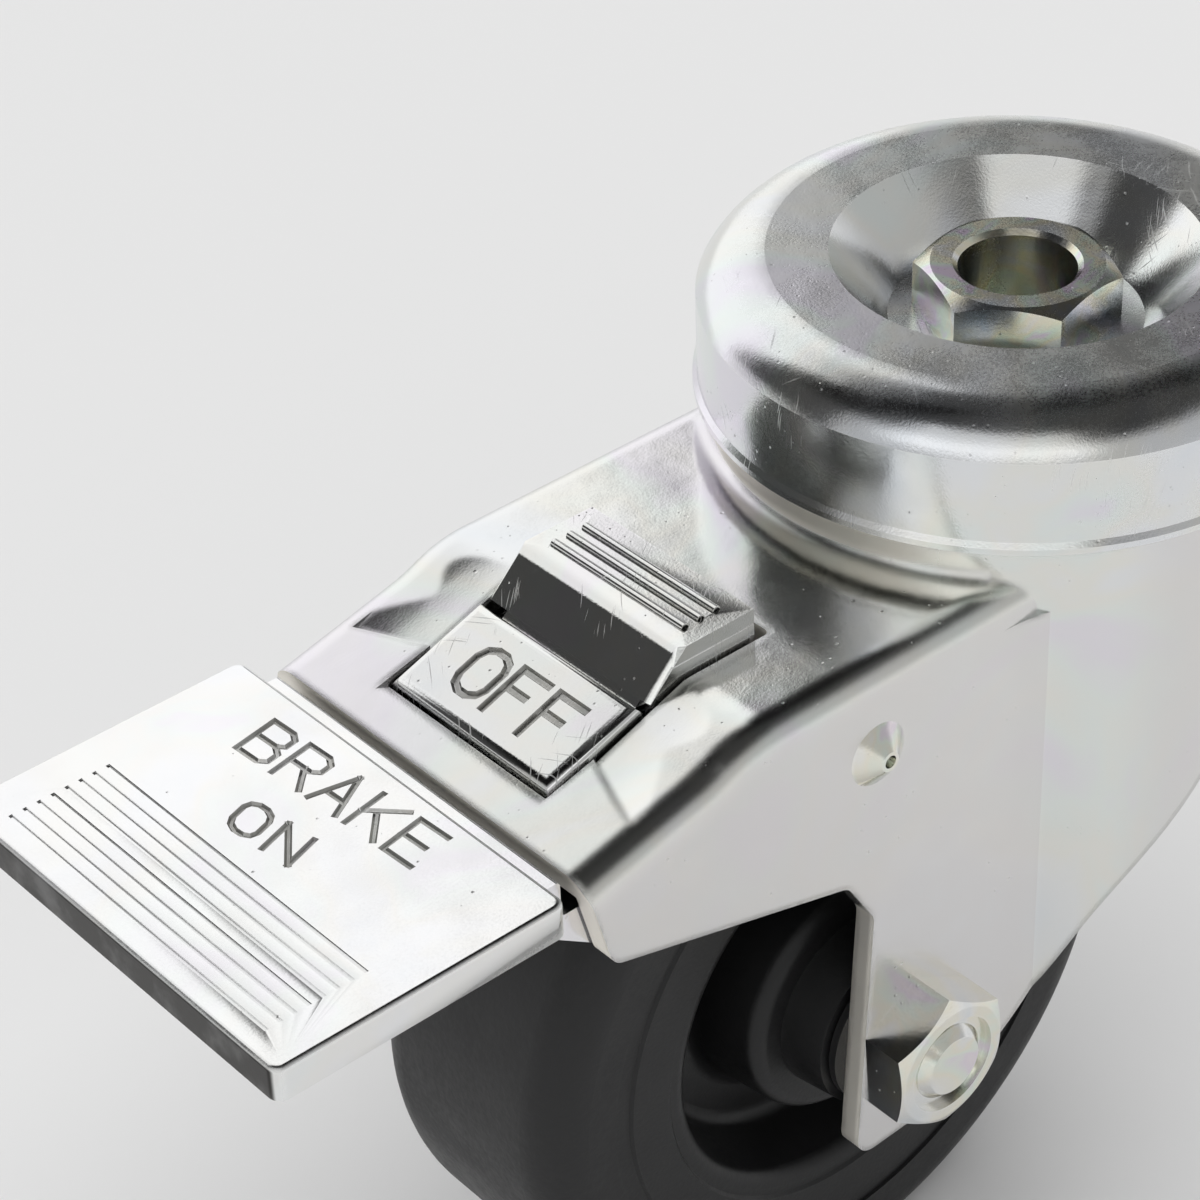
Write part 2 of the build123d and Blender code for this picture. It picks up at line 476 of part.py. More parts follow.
neck_line = Polyline(
    (-46.0, foot_z - 2.2), (TREAD_FOOT + 1.0, foot_z - 0.9), (TREAD_FOOT + 0.1, foot_z - 1.7),
    (TREAD_FOOT - 2.2, foot_z - 1.8), (TREAD_FOOT - 2.2, foot_z - 4.2), (-46.0, foot_z - 5.0), close=True)
tread += slab(xz_face(neck_line), -9.0, 9.0)
sign_back_z = foot_z + 0.45
sign_front_z = slope_top(SIGN_FRONT) + 0.35
sign_line = Polyline((SIGN_BACK, sign_back_z), (SIGN_FRONT, sign_front_z), (SIGN_FRONT, sign_front_z - 2.4),
                     (SIGN_BACK, sign_back_z - 2.8), close=True)
sign = slab(xz_face(sign_line), -SIGN_HALF, SIGN_HALF)
sign = fillet(max(sign.faces(), key=lambda f: f.normal_at().Z).edges(), SIGN_ROUND)
tread += sign

wing_low = WING_TOP - WING_T
wall = block(WEB_END + 0.6, -46.0, TREAD_HALF - 2.0, TREAD_HALF, wing_low, foot_z - 2.0)
wing = block(WEB_END + 0.6, -46.0, TREAD_HALF - 1.0, RELEASE_OUT, wing_low, WING_TOP)
ear_line = Polyline(
    (WEB_END + 0.6, WING_TOP), (-46.0, WING_TOP + 0.8), (PIVOT_X - 1.6, PIVOT_Z + 5.2),
    (PIVOT_X + 2.6, PIVOT_Z - 4.8), (-46.0, wing_low - 0.4), (WEB_END + 0.6, wing_low), close=True)
ear = slab(xz_face(ear_line), RELEASE_OUT - RELEASE_T, RELEASE_OUT)
ear += across(rod(RELEASE_EYE_R, RELEASE_OUT - RELEASE_T, RELEASE_OUT), PIVOT_X, PIVOT_Z)
ear -= across(rod(PIVOT_R + RUN, 0, THROUGH), PIVOT_X, PIVOT_Z)
side = wall + wing + ear
release_tread = tread + side + mirrored(side)

PARTS = {
    "swivel_cap": swivel_cap,
    "king_bolt": king_bolt,
    "king_sleeve": king_sleeve,
    "king_nut": king_nut,
    "lower_race": lower_race,
    "upper_balls": upper_balls,
    "upper_cage": upper_cage,
    "lower_balls": lower_balls,
    "fork": fork,
    "pivot_rivet_left": pivot_rivet_left,
    "pivot_rivet_right": pivot_rivet_right,
    "axle_bolt": axle_bolt,
    "axle_nut": axle_nut,
    "axle_tube": axle_tube,
    "thrust_washer_left": thrust_washer_left,
    "thrust_washer_right": thrust_washer_right,
    "tyre": tyre,
    "wheel_core": wheel_core,
    "hub_bush_left": hub_bush_left,
    "hub_bush_right": hub_bush_right,
    "brake_pedal": brake_pedal,
    "brake_shoe": brake_shoe,
    "shoe_rivet_left": shoe_rivet_left,
    "shoe_rivet_right": shoe_rivet_right,
    "release_tread": release_tread,
}

os.makedirs("parts", exist_ok=True)
for name, solid in PARTS.items():
    placed = Pos(0, 0, DATUM) * solid
    export_step(placed, f"parts/{name}.step")
    box = placed.bounding_box()
    print(name, len(placed.solids()), [round(v, 2) for v in (*box.min, *box.max)], round(placed.volume, 1))
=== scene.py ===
# %% [markdown]
# A locking castor, dressed in Blender.
# The castor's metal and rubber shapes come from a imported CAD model, which is loaded as a fixed frame.
# What is left for Blender is the finish: bright zinc plate with a faint rainbow bloom, specks and scratches,
# black rubber and nylon, the stamped words on the two treads, and a studio that suits shiny metal.
# Every length here is in metres, because the frame is.

# %% Load the frame and keep its box
from math import cos, radians, sin

import bmesh
import bpy
from mathutils import Matrix, Vector


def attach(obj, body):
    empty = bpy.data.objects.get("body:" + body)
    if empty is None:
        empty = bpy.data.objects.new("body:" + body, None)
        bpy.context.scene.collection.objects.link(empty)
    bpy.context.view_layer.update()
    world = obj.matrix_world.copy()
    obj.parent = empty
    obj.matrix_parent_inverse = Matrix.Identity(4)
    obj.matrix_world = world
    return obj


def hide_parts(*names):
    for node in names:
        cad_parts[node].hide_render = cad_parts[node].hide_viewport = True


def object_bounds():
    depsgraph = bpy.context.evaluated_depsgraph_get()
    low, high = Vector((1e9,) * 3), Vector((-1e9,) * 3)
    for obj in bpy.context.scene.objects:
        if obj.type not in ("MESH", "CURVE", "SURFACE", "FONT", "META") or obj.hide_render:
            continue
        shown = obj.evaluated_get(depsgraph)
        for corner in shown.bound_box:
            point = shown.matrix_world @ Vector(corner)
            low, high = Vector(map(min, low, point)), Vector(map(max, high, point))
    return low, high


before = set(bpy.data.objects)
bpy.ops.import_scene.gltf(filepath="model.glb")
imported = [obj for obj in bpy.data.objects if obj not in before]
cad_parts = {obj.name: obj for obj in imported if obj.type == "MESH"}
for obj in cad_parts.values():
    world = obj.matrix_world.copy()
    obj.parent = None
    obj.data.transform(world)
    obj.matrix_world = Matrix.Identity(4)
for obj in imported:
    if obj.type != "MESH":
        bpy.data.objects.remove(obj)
cad_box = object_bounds()
MM = 0.001
print("nodes:", len(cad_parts), "box:", cad_box)

# %% [markdown]
# Shader nodes are easier to read when each one is made by a single line.
# The first helper adds a node, sets what it is told, and joins it to others:
# an input can be given a number, a colour or the output socket of another node.
# The next three do a sum, a soft stretch and a mix of colours,
# and the last one opens a node group with named sockets.


# %% Helpers for shader nodes
def put(tree, kind, inputs=None, **settings):
    """Add a node, set its options, and fill or join its inputs."""
    node = tree.nodes.new(kind)
    for name, value in settings.items():
        setattr(node, name, value)
    for key, value in (inputs or {}).items():
        socket = node.inputs[key]
        if isinstance(value, bpy.types.NodeSocket):
            tree.links.new(value, socket)
        else:
            socket.default_value = value
    return node


def maths(tree, operation, first, second=0.0, clamp=False):
    """One sum on two values, each a number or a socket."""
    node = put(tree, "ShaderNodeMath", {0: first, 1: second}, operation=operation, use_clamp=clamp)
    return node.outputs[0]


def ramp(tree, value, low, high, to_low=0.0, to_high=1.0):
    """Stretch a value softly from one range to another."""
    node = put(tree, "ShaderNodeMapRange", {"Value": value, "From Min": low, "From Max": high,
                                            "To Min": to_low, "To Max": to_high},
               interpolation_type="SMOOTHSTEP")
    return node.outputs["Result"]


def mixed(tree, factor, first, second, blend="MIX"):
    """Mix two colours, each a colour or a socket."""
    node = put(tree, "ShaderNodeMix", {"Factor": factor, 6: first, 7: second},
               data_type="RGBA", blend_type=blend)
    return node.outputs[2]


def new_group(name, inputs, outputs):
    """A shader node group with named value inputs and named outputs."""
    tree = bpy.data.node_groups.new(name, "ShaderNodeTree")
    for label, value in inputs.items():
        socket = tree.interface.new_socket(name=label, in_out="INPUT", socket_type="NodeSocketFloat")
        socket.default_value = value
    for label, kind in outputs.items():
        tree.interface.new_socket(name=label, in_out="OUTPUT", socket_type=kind)
    return tree, tree.nodes.new("NodeGroupInput").outputs, tree.nodes.new("NodeGroupOutput").inputs


print("helpers ready: put, maths, ramp, mixed, new_group")

# %% [markdown]
# Zinc plate is never one flat grey. The clear film over it is thinner than a light wave,
# so it tints the metal in soft clouds of blue, straw, green and pink.
# A noise texture through a colour ramp gives such clouds, and Strength fades them towards white.

# %% Group: the rainbow bloom of zinc plate
FLOAT = "NodeSocketFloat"
COLOR = "NodeSocketColor"
BLOOM_COLOURS = [(0.30, (0.72, 0.84, 1.0)), (0.41, (0.96, 0.98, 1.0)), (0.48, (1.0, 0.94, 0.70)),
                 (0.55, (0.82, 1.0, 0.86)), (0.61, (0.84, 0.68, 0.96)), (0.72, (1.0, 0.86, 0.90))]

bloom, took, gave = new_group("plate_bloom", {"Scale": 60.0, "Strength": 0.5}, {"Tint": COLOR})
place = put(bloom, "ShaderNodeTexCoord")
clouds = put(bloom, "ShaderNodeTexNoise", {"Vector": place.outputs["Object"], "Scale": took["Scale"],
                                           "Detail": 3.0, "Roughness": 0.55, "Distortion": 0.6})
film = put(bloom, "ShaderNodeValToRGB", {"Fac": clouds.outputs["Fac"]})
for number, (spot, colour) in enumerate(BLOOM_COLOURS):
    stops = film.color_ramp.elements
    stop = stops[number] if number < 2 else stops.new(spot)
    stop.position = spot
    stop.color = (*colour, 1.0)
bloom.links.new(mixed(bloom, took["Strength"], (1.0, 1.0, 1.0, 1.0), film.outputs["Color"]), gave["Tint"])
print("group:", bloom.name, len(bloom.nodes), "nodes")

# %% [markdown]
# Specks: a plated pressing carries tiny dents and grains from the barrel it was plated in.
# A Voronoi texture drops one point in each cell. Only cells with a low random value get a speck,
# and a coarse noise keeps the specks in patches, so they lie as unevenly as real ones.

# %% Group: specks from the plating barrel
specks, took, gave = new_group("barrel_specks", {"Scale": 1100.0, "Share": 0.3, "Size": 0.2},
                               {"Mask": FLOAT, "Height": FLOAT})
place = put(specks, "ShaderNodeTexCoord")
cells = put(specks, "ShaderNodeTexVoronoi", {"Vector": place.outputs["Object"], "Scale": took["Scale"]})
chance = put(specks, "ShaderNodeSeparateColor", {"Color": cells.outputs["Color"]})
chosen = maths(specks, "LESS_THAN", chance.outputs[0], took["Share"])
size = maths(specks, "MULTIPLY", took["Size"], maths(specks, "ADD", chance.outputs[1], 0.35))
dent = ramp(specks, cells.outputs["Distance"], 0.0, size, 1.0, 0.0)
patch = put(specks, "ShaderNodeTexNoise", {"Vector": place.outputs["Object"], "Scale": 95.0, "Detail": 3.0})
patchy = ramp(specks, patch.outputs["Fac"], 0.44, 0.60)
mask = maths(specks, "MULTIPLY", maths(specks, "MULTIPLY", dent, chosen), patchy)
specks.links.new(mask, gave["Mask"])
specks.links.new(maths(specks, "MULTIPLY", mask, -1.0), gave["Height"])
print("group:", specks.name, len(specks.nodes), "nodes")

# %% [markdown]
# Scratches: parts knock against each other in the plating barrel and in the box.
# If a Voronoi texture is squeezed until each cell is long and very thin, a small disc round its point
# becomes a hairline with tapered ends. Mapping of the Texture kind turns first and squeezes after,
# so each set of lines has its own direction. A noise bends the lines, and another keeps them in clusters.

# %% Group: handling scratches
SCRATCH_SETS = [((0.15, 0.1, 0.95), (7.0, 0.19, 5.0)), ((0.0, 0.25, 0.55), (4.5, 0.16, 4.0)),
                ((0.3, -0.2, 1.9), (8.0, 0.20, 5.0))]
SCRATCH_SHARE = 0.18
SCRATCH_EDGE = (0.36, 0.12)
SCRATCH_SWAY = 0.003

scratches, took, gave = new_group("handling_scratches", {"Scale": 1.0, "Amount": 0.5, "Cluster": 0.56},
                                  {"Mask": FLOAT})
place = put(scratches, "ShaderNodeTexCoord")
where = place.outputs["Object"]
sway = put(scratches, "ShaderNodeTexNoise", {"Vector": where, "Scale": 90.0, "Detail": 1.0})
sway = put(scratches, "ShaderNodeVectorMath", {0: sway.outputs["Color"], "Scale": SCRATCH_SWAY},
           operation="SCALE")
bent = put(scratches, "ShaderNodeVectorMath", {0: where, 1: sway.outputs[0]}, operation="ADD")
sized = put(scratches, "ShaderNodeVectorMath", {0: bent.outputs[0], "Scale": took["Scale"]},
            operation="SCALE")
total = None
for turn, cell_mm in SCRATCH_SETS:
    cell = [side * MM for side in cell_mm]
    laid = put(scratches, "ShaderNodeMapping", {"Vector": sized.outputs[0], "Rotation": turn, "Scale": cell},
               vector_type="TEXTURE")
    lines = put(scratches, "ShaderNodeTexVoronoi", {"Vector": laid.outputs[0], "Scale": 1.0})
    chance = put(scratches, "ShaderNodeSeparateColor", {"Color": lines.outputs["Color"]})
    kept = maths(scratches, "LESS_THAN", chance.outputs[0], SCRATCH_SHARE)
    cut = maths(scratches, "MULTIPLY", ramp(scratches, lines.outputs["Distance"], *SCRATCH_EDGE), kept)
    total = cut if total is None else maths(scratches, "MAXIMUM", total, cut)
spread = put(scratches, "ShaderNodeTexNoise", {"Vector": where, "Scale": 80.0, "Detail": 2.0})
above = maths(scratches, "SUBTRACT", spread.outputs["Fac"], took["Cluster"])
broken = ramp(scratches, above, 0.0, 0.07)
mask = maths(scratches, "MULTIPLY", maths(scratches, "MULTIPLY", total, broken), took["Amount"])
scratches.links.new(mask, gave["Mask"])
print("group:", scratches.name, len(scratches.nodes), "nodes")

# %% [markdown]
# Edge rub and painted edge highlight: outside corners touch everything first, so their plate is burnished or
# bared, and the same mask also paints a highlight along them.
# The Bevel node returns a normal that is rounded near an edge. Where it differs from the true normal
# there is an edge, and the difference is the mask.

# %% Group: rubbed edges and painted edge highlight
edges, took, gave = new_group("rubbed_and_highlit_edges", {"Width": 0.0003}, {"Mask": FLOAT})
true_way = put(edges, "ShaderNodeNewGeometry")
round_way = put(edges, "ShaderNodeBevel", {"Radius": took["Width"]}, samples=2)
same = put(edges, "ShaderNodeVectorMath", {0: true_way.outputs["Normal"], 1: round_way.outputs["Normal"]},
           operation="DOT_PRODUCT")
rub_and_highlight = ramp(edges, same.outputs["Value"], 0.995, 0.85)
place = put(edges, "ShaderNodeTexCoord")
uneven = put(edges, "ShaderNodeTexNoise", {"Vector": place.outputs["Object"], "Scale": 400.0, "Detail": 2.0})
edges.links.new(maths(edges, "MULTIPLY", rub_and_highlight, ramp(edges, uneven.outputs["Fac"], 0.35, 0.6)), gave["Mask"])
print("group:", edges.name, len(edges.nodes), "nodes")

# %% [markdown]
# Fine grain: rolled sheet and moulded plastic both have a texture too small to see as shapes,
# but it breaks up the gloss: at the border of a reflection it shows as a dust of light and dark.
# One noise gives that grain, and a broad one gives slow changes of gloss.

# %% Group: fine grain
grain, took, gave = new_group("fine_grain", {"Scale": 2500.0}, {"Value": FLOAT, "Height": FLOAT})
place = put(grain, "ShaderNodeTexCoord")
small = put(grain, "ShaderNodeTexNoise", {"Vector": place.outputs["Object"], "Scale": took["Scale"],
                                          "Detail": 3.0})
broad = put(grain, "ShaderNodeTexNoise", {"Vector": place.outputs["Object"], "Scale": 130.0, "Detail": 3.0})
value = maths(grain, "ADD", maths(grain, "MULTIPLY", small.outputs["Fac"], 0.4),
              maths(grain, "MULTIPLY", broad.outputs["Fac"], 0.6))
grain.links.new(value, gave["Value"])
grain.links.new(small.outputs["Fac"], gave["Height"])
print("group:", grain.name, len(grain.nodes), "nodes")

# %% [markdown]
# Waves: pressed sheet is never quite flat. It has slow waves a few millimetres long and a few
# hundredths high, which the eye sees only because they bend reflections into clouds.
# A noise gives their height, and a Bump node of its own turns it into slopes.

# %% Group: waves in pressed sheet
waves, took, gave = new_group("sheet_waves", {"Scale": 170.0}, {"Height": FLOAT})
place = put(waves, "ShaderNodeTexCoord")
swell = put(waves, "ShaderNodeTexNoise", {"Vector": place.outputs["Object"], "Scale": took["Scale"],
                                          "Detail": 2.0, "Roughness": 0.4})
waves.links.new(swell.outputs["Fac"], gave["Height"])
print("group:", waves.name, len(waves.nodes), "nodes")

# %% [markdown]
# Zinc plate itself. All zinc pieces share one recipe and differ in numbers:
# how satin or mirror-like they are, how strong the bloom is, and how much they were handled.
# A press tool leaves the flats of a sheet with another skin than the bends,
# so roughness follows how far the surface faces up or sideways.


# %% Material recipe: zinc plate
def shader_of(material):
    return next(n for n in material.node_tree.nodes if n.type == "BSDF_PRINCIPLED")


def placed(tree, group, **values):
    """Place a node group and give its inputs their values."""
    node = put(tree, "ShaderNodeGroup", node_tree=group)
    for label, value in values.items():
        node.inputs[label].default_value = value
    return node.outputs


PLATE_GRAIN = 4200.0
SPECK_GREY = (0.55, 0.55, 0.55, 1.0)
SCRATCH_GREY = (0.95, 0.95, 0.95, 1.0)
RUB_AND_HIGHLIGHT_GREY = (0.93, 0.93, 0.93, 1.0)
SPECK_DEPTH = 0.00004
SHEET_WAVE = 0.00006
FORK_EASE = 0.0010


def zinc(name, colour, flat_rough, bend_rough, bloom_strength, bloom_scale=60.0,
         speck_share=0.2, scratch=0.0, cluster=0.56, wave=0.0, grain_depth=0.3, crease=0.0):
    """Plated steel: colour, gloss and relief from the groups above. Crease is how far edges are eased."""
    material = bpy.data.materials.new(name)
    material.use_nodes = True
    tree = material.node_tree
    skin = shader_of(material)
    tint = placed(tree, bloom, Scale=bloom_scale, Strength=bloom_strength)["Tint"]
    speck = placed(tree, specks, Share=speck_share)
    edge = placed(tree, edges)["Mask"]
    fine = placed(tree, grain, Scale=PLATE_GRAIN)

    # Colour: plate times bloom, a little duller in specks, paler where it is scratched, and paler at edges
    # for rubbing and a painted highlight
    plate = mixed(tree, 1.0, (*colour, 1.0), tint, "MULTIPLY")
    plate = mixed(tree, maths(tree, "MULTIPLY", speck["Mask"], 0.25), plate, SPECK_GREY)
    if scratch:
        line = placed(tree, scratches, Amount=scratch, Cluster=cluster)
        plate = mixed(tree, maths(tree, "MULTIPLY", line["Mask"], 0.3), plate, SCRATCH_GREY)
    # edges: partly rubbed plate, partly a painted highlight
    plate = mixed(tree, maths(tree, "MULTIPLY", edge, 0.6), plate, RUB_AND_HIGHLIGHT_GREY)
    tree.links.new(plate, skin.inputs["Base Color"])

    # Roughness: flats and bends each have their own, scratches and specks are rough, edges polished
    place = put(tree, "ShaderNodeTexCoord")
    facing = put(tree, "ShaderNodeVectorMath", {0: place.outputs["Normal"]}, operation="ABSOLUTE")
    axes = put(tree, "ShaderNodeSeparateXYZ", {0: facing.outputs[0]})
    squarest = maths(tree, "MAXIMUM", axes.outputs["Y"], axes.outputs["Z"])
    satin = ramp(tree, squarest, 0.72, 1.0, bend_rough, flat_rough)
    varied = maths(tree, "MULTIPLY", satin, ramp(tree, fine["Value"], 0.35, 0.65, 0.75, 1.3))
    marks = maths(tree, "MULTIPLY", speck["Mask"], 0.3)
    if scratch:
        marks = maths(tree, "ADD", maths(tree, "MULTIPLY", line["Mask"], 0.45), marks)
    polish = maths(tree, "MULTIPLY", edge, 0.04)
    rough = maths(tree, "SUBTRACT", maths(tree, "ADD", varied, marks), polish, clamp=True)
    tree.links.new(rough, skin.inputs["Roughness"])
    skin.inputs["Metallic"].default_value = 1.0

    # Relief: slow waves first, then specks and grain on top of them
    relief = maths(tree, "ADD", speck["Height"], maths(tree, "MULTIPLY", fine["Height"], grain_depth))
    bump = put(tree, "ShaderNodeBump", {"Height": relief, "Strength": 0.6, "Distance": SPECK_DEPTH})
    if wave:
        swell = placed(tree, waves)["Height"]
        slow = put(tree, "ShaderNodeBump", {"Height": swell, "Strength": 1.0, "Distance": wave})
        tree.links.new(slow.outputs["Normal"], bump.inputs["Normal"])
        if crease:
            eased = put(tree, "ShaderNodeBevel", {"Radius": crease}, samples=3)
            tree.links.new(eased.outputs["Normal"], slow.inputs["Normal"])
    tree.links.new(bump.outputs["Normal"], skin.inputs["Normal"])
    return material


zinc_head = zinc("zinc_head", (0.81, 0.82, 0.83), 0.28, 0.17, bloom_strength=0.22, bloom_scale=45.0,
                 speck_share=0.60, scratch=0.9, cluster=0.54, wave=SHEET_WAVE, grain_depth=0.40)
zinc_fork = zinc("zinc_fork", (0.81, 0.815, 0.81), 0.14, 0.13, bloom_strength=0.20, bloom_scale=38.0,
                 speck_share=0.35, wave=SHEET_WAVE, grain_depth=0.22, crease=FORK_EASE)
zinc_pedal = zinc("zinc_pedal", (0.88, 0.88, 0.885), 0.16, 0.45, bloom_strength=0.10, bloom_scale=50.0,
                  speck_share=0.10, grain_depth=0.15)
zinc_tread = zinc("zinc_tread", (0.82, 0.82, 0.81), 0.13, 0.12, bloom_strength=0.12,
                  speck_share=0.40, scratch=1.0, cluster=0.45, grain_depth=0.25)
zinc_bolt = zinc("zinc_bolt", (0.82, 0.81, 0.79), 0.26, 0.20, bloom_strength=0.75, bloom_scale=150.0,
                 grain_depth=0.35)
zinc_fixing = zinc("zinc_fixing", (0.83, 0.82, 0.79), 0.18, 0.16, bloom_strength=0.40, bloom_scale=110.0)
# painted shade for the walls of the stamped grooves
zinc_groove_shade = zinc("zinc_groove_shade", (0.48, 0.475, 0.46), 0.34, 0.34, bloom_strength=0.12)
zinc_inner = zinc("zinc_inner", (0.74, 0.75, 0.76), 0.36, 0.30, bloom_strength=0.2)
print("zinc finishes: 8")

# %% [markdown]
# Some faces get painted light and shade, picked by the way they face: a painted dark reflection on the front
# edge of the pedal, a pale painted highlight on the front edges of the fork's legs, and painted shade with a
# duller gloss on the fork's sides.
# All are picked by the way the surface faces, in the piece's own axes, so the painting stays put
# however the piece moves or is seen.


# %% Painted shade, reflection and highlight by facing
PAINT_PATCH_SCALE = 260.0


def paint_light_by_facing(material, way, low, high, colour, roughness, share=1.0, both=False):
    """Paint light or shade onto faces that look one way: another colour and roughness."""
    tree = material.node_tree
    skin = shader_of(material)
    place = put(tree, "ShaderNodeTexCoord")
    facing = put(tree, "ShaderNodeVectorMath", {0: place.outputs["Normal"], 1: way},
                 operation="DOT_PRODUCT").outputs["Value"]
    if both:
        facing = maths(tree, "ABSOLUTE", facing)
    paint_patches = put(tree, "ShaderNodeTexNoise", {"Vector": place.outputs["Object"], "Scale": PAINT_PATCH_SCALE,
                                             "Detail": 4.0})
    uneven = ramp(tree, paint_patches.outputs["Fac"], 0.25, 0.55, 0.88 * share, share)
    mask = maths(tree, "MULTIPLY", ramp(tree, facing, low, high), uneven)
    before = skin.inputs["Base Color"].links[0].from_socket
    tree.links.new(mixed(tree, mask, before, (*colour, 1.0)), skin.inputs["Base Color"])
    before = skin.inputs["Roughness"].links[0].from_socket
    gap = maths(tree, "MULTIPLY", maths(tree, "SUBTRACT", roughness, before), mask)
    tree.links.new(maths(tree, "ADD", before, gap, clamp=True), skin.inputs["Roughness"])


# painted dark reflection: the pedal's front face is made near-black
paint_light_by_facing(zinc_pedal, (-1, 0, 0), 0.80, 0.97, (0.04, 0.038, 0.036), 0.30)
# painted highlight: the front edges of the fork's legs are made pale
paint_light_by_facing(zinc_fork, (-1, 0, 0), 0.80, 0.95, (0.90, 0.87, 0.80), 0.55)
# painted shade: both sides of the fork are made darker than its top
paint_light_by_facing(zinc_fork, (0, 1, 0), 0.88, 0.99, (0.72, 0.70, 0.695), 0.26, share=0.75, both=True)
print("toned: pedal front dark, fork edges pale, fork sides dull")

# %% [markdown]
# The balls are hardened, polished steel. They are hidden in the head, so their finish is simple:
# a bright metal with a slightly uneven polish.

# %% Material: bearing balls
ball_steel = bpy.data.materials.new("ball_steel")
ball_steel.use_nodes = True
tree = ball_steel.node_tree
skin = shader_of(ball_steel)
fine = placed(tree, grain, Scale=1800.0)
tree.links.new(ramp(tree, fine["Value"], 0.35, 0.65, 0.05, 0.11), skin.inputs["Roughness"])
steel = mixed(tree, fine["Value"], (0.62, 0.63, 0.65, 1), (0.78, 0.78, 0.79, 1))
tree.links.new(steel, skin.inputs["Base Color"])
skin.inputs["Metallic"].default_value = 1.0
print("material:", ball_steel.name)

# %% [markdown]
# Rubber and nylon: both are black, but neither is flat black. Rubber is duller,
# and moulded nylon has a finer skin with a soft gloss. The edge group makes the edges of both grey,
# partly for handling wear and partly as a painted highlight, and the grain group gives the skin.


# %% Material recipe: black mouldings
WORN_AND_HIGHLIGHT_EDGE = 0.0005
RUBBER_WORN_AND_HIGHLIGHT = (0.08, 0.08, 0.08)
NYLON_WORN_AND_HIGHLIGHT = (0.06, 0.06, 0.06)


def moulding(name, colour, worn_and_highlight_colour, rough, grain_scale, bump_height):
    """Black rubber or nylon with an uneven skin, and edges grey from wear and a painted highlight."""
    material = bpy.data.materials.new(name)
    material.use_nodes = True
    tree = material.node_tree
    skin = shader_of(material)
    fine = placed(tree, grain, Scale=grain_scale)
    # grey edges: partly wear, partly a painted highlight
    worn_and_highlight = maths(tree, "MULTIPLY", placed(tree, edges, Width=WORN_AND_HIGHLIGHT_EDGE)["Mask"], 0.2)
    dim = (*[c * 0.65 for c in colour], 1)
    full = (*[c * 1.4 for c in colour], 1)
    shade = mixed(tree, worn_and_highlight, mixed(tree, fine["Value"], dim, full), (*worn_and_highlight_colour, 1))
    tree.links.new(shade, skin.inputs["Base Color"])
    gloss = maths(tree, "ADD", ramp(tree, fine["Value"], 0.35, 0.65, rough - 0.06, rough + 0.06),
                  maths(tree, "MULTIPLY", worn_and_highlight, 0.2), clamp=True)
    tree.links.new(gloss, skin.inputs["Roughness"])
    bump = put(tree, "ShaderNodeBump", {"Height": fine["Height"], "Strength": 0.35, "Distance": bump_height})
    tree.links.new(bump.outputs["Normal"], skin.inputs["Normal"])
    skin.inputs["Specular IOR Level"].default_value = 0.35
    return material


tyre_rubber = moulding("tyre_rubber", (0.016, 0.016, 0.0165), RUBBER_WORN_AND_HIGHLIGHT, 0.48, 1400.0, 0.0001)
shoe_rubber = moulding("shoe_rubber", (0.018, 0.018, 0.0185), RUBBER_WORN_AND_HIGHLIGHT, 0.60, 1600.0, 0.0001)
core_nylon = moulding("core_nylon", (0.010, 0.010, 0.0105), NYLON_WORN_AND_HIGHLIGHT, 0.38, 2200.0, 0.00006)
bush_nylon = moulding("bush_nylon", (0.012, 0.012, 0.0125), NYLON_WORN_AND_HIGHLIGHT, 0.40, 2600.0, 0.00005)
print("mouldings: 4")

# %% [markdown]
# Each CAD node gets its finish by name. The node's mesh is not touched.

# %% Give each node its finish
FINISHES = {
    zinc_head: ["swivel_cap"],
    zinc_bolt: ["king_bolt"],
    zinc_fork: ["fork"],
    zinc_pedal: ["brake_pedal"],
    zinc_tread: ["release_tread"],
    zinc_fixing: ["pivot_rivet_left", "pivot_rivet_right", "axle_bolt", "axle_nut", "shoe_rivet_left",
                  "shoe_rivet_right"],
    zinc_inner: ["king_sleeve", "king_nut", "lower_race", "axle_tube"],
    ball_steel: ["upper_balls", "lower_balls"],
    tyre_rubber: ["tyre"],
    shoe_rubber: ["brake_shoe"],
    core_nylon: ["wheel_core"],
    bush_nylon: ["upper_cage", "hub_bush_left", "hub_bush_right", "thrust_washer_left",
                 "thrust_washer_right"],
}
for material, names in FINISHES.items():
    for name in names:
        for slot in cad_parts[name].material_slots:
            slot.material = material
print("finished nodes:", sum(len(names) for names in FINISHES.values()))

# %% [markdown]
# The two treads say what they do, in words struck into the metal by a punch.
# A punch leaves grooves with sloping walls, so each letter is drawn as a few lines,
# each line becomes a strip that is wider above than below, and a Boolean cuts all strips out at once.
# That gives true grooves, which catch the light from any side, as a painted word would not.
# The groove walls take a darker, duller finish of their own: painted shade, so the words read dark.

